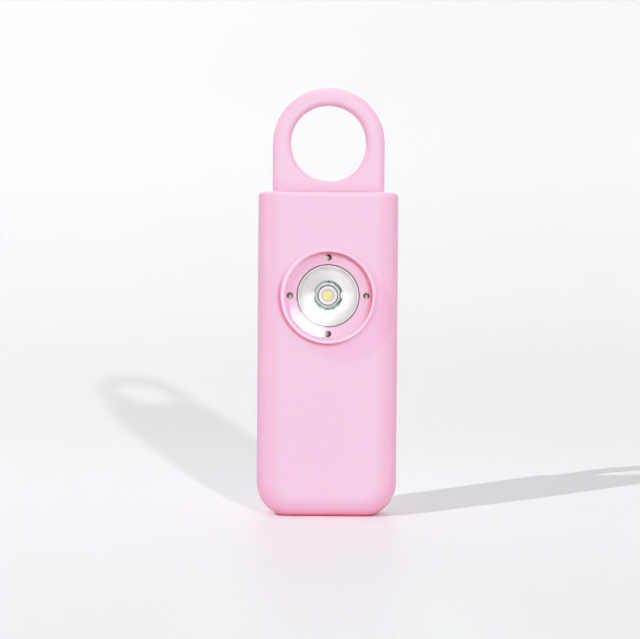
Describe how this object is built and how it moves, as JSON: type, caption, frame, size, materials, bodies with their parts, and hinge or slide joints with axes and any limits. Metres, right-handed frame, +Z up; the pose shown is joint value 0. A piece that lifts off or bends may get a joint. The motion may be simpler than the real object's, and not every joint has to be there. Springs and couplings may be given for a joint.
{
  "type": "personal safety alarm",
  "caption": "Slim hand-held safety alarm: a rounded pink casing with a round lamp, and an arched pull ring on top that comes off to sound the siren.",
  "frame": {"origin": "on the ground, in the middle of the casing's flat foot", "axes": "+Z up to the pull ring, +X to the right seen from the front, the lamp faces -Y"},
  "size_m": [0.0334, 0.0168, 0.102],
  "materials": {
    "pink_case": "satin moulded ABS",
    "pink_ring": "satin moulded ABS",
    "clear_cover": "polished clear acrylic",
    "bright_bowl": "bright plated plastic",
    "led_body": "matte white",
    "led_yellow": "silicone with yellow phosphor",
    "clear_dome": "clear moulded silicone",
    "lead_tin": "tinned copper strip",
    "board_green": "green solder mask",
    "siren_black": "moulded black",
    "sheet_brass": "rolled",
    "piezo_ceramic": "silvered",
    "gasket_foam": "closed-cell foam",
    "lead_red": "PVC sleeve",
    "lead_black": "PVC sleeve",
    "ferrite": "matte",
    "copper_wire": "enamelled",
    "chip_black": "moulded epoxy",
    "can_silver": "drawn aluminium",
    "cell_steel": "plated steel can",
    "spring_nickel": "nickel-plated spring strip",
    "socket_black": "moulded nylon",
    "screw_steel": "nickel-plated",
    "pin_nickel": "nickel-plated brass"
  },
  "bodies": {
    "casing": {"front_shell": "pink_case", "rear_shell": "pink_case", "lens_cover": "clear_cover", "reflector": "bright_bowl", "led_package": "led_body", "led_leads": "lead_tin", "led_phosphor": "led_yellow", "led_dome": "clear_dome", "main_board": "board_green", "siren_gasket": "gasket_foam", "siren_housing": "siren_black", "siren_diaphragm": "sheet_brass", "siren_ceramic": "piezo_ceramic", "siren_lead_left": "lead_red", "siren_lead_right": "lead_black", "boost_coil_core": "ferrite", "boost_coil_winding": "copper_wire", "control_chip": "chip_black", "transistor": "chip_black", "capacitor": "can_silver", "chip_resistors": "chip_black", "coin_cell_1": "cell_steel", "coin_cell_2": "cell_steel", "negative_contact": "spring_nickel", "positive_contact": "spring_nickel", "jack_socket": "socket_black", "fixed_contact": "spring_nickel", "case_screws": "screw_steel", "board_screws": "screw_steel", "door_inserts": "sheet_brass"},
    "pull_ring": {"pull_ring": "pink_ring", "jack_pin": "pin_nickel"},
    "switch_leaf": {"switch_leaf": "spring_nickel"},
    "battery_door": {"battery_door": "pink_case", "door_screws": "screw_steel"}
  },
  "joints": [
    {"name": "pull_ring_slide", "type": "slide", "parent": "casing", "child": "pull_ring", "axis": [0, 0, 1], "range_m": [0, 0.025]},
    {"name": "switch_leaf_hinge", "type": "hinge", "parent": "casing", "child": "switch_leaf", "pos_m": [0.00213, 0, 0.07365], "axis": [0, 1, 0], "range_deg": [0, 4.2]},
    {"name": "battery_door_lift", "type": "slide", "parent": "casing", "child": "battery_door", "axis": [0, 1, 0], "range_m": [0, 0.012]}
  ],
  "couplings": [
    {"joint": "switch_leaf_hinge", "follows": "pull_ring_slide", "rad_per_m": 2.7925}
  ]
}
